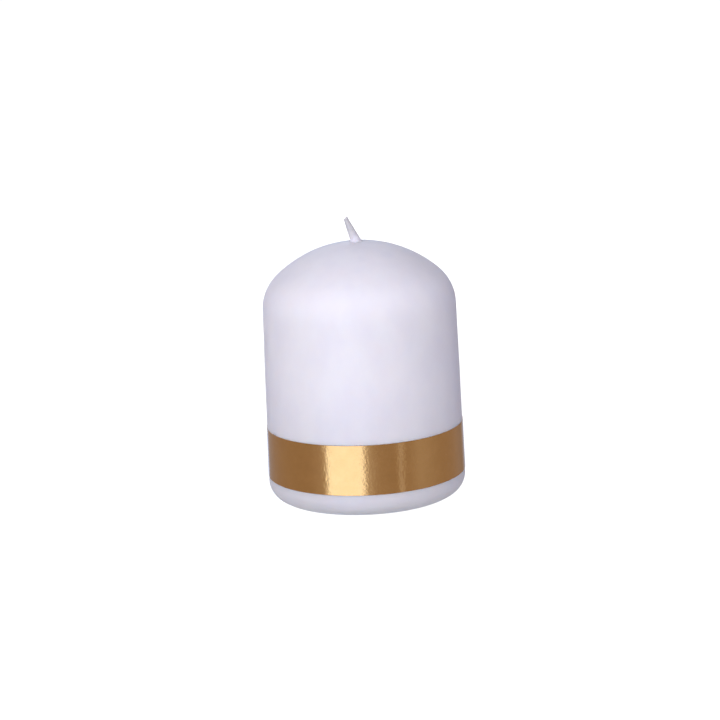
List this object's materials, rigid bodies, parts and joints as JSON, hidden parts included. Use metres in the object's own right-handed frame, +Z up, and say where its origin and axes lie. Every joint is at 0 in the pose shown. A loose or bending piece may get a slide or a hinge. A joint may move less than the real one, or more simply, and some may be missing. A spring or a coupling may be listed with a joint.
{
  "type": "unity candle",
  "caption": "White domed pillar candle with a gold foil band near its foot and a wax-coated braided wick that bends at its root.",
  "frame": {"origin": "centre of the foot, on the surface that the candle stands on", "axes": "+Z up along the candle's axis, -Y towards the front, and the wick leans towards -X"},
  "size_m": [0.0764, 0.0765, 0.1082],
  "materials": {
    "outer_wax": "smooth dipped wax, satin, slightly translucent",
    "core_wax": "pressed wax, matte and slightly granular",
    "cotton": "braided cotton soaked in wax",
    "wick_wax": "thin dipped wax over cotton",
    "tinplate": "bright stamped tinplate",
    "adhesive": "clear pressure-sensitive adhesive",
    "gold_foil": "metallised gold film, glossy with a fine grain"
  },
  "bodies": {
    "candle": {"overdip_shell": "outer_wax", "pressed_core": "core_wax", "wick_stem": "cotton", "wick_sustainer": "tinplate", "band_adhesive": "adhesive", "band_foil": "gold_foil"},
    "wick": {"wick_tail": "cotton", "wick_wax": "wick_wax"}
  },
  "joints": [
    {"name": "wick_bend", "type": "hinge", "parent": "candle", "child": "wick", "pos_m": [0, 0, 0.0992], "axis": [0, 1, 0], "range_deg": [-23, 67]}
  ]
}
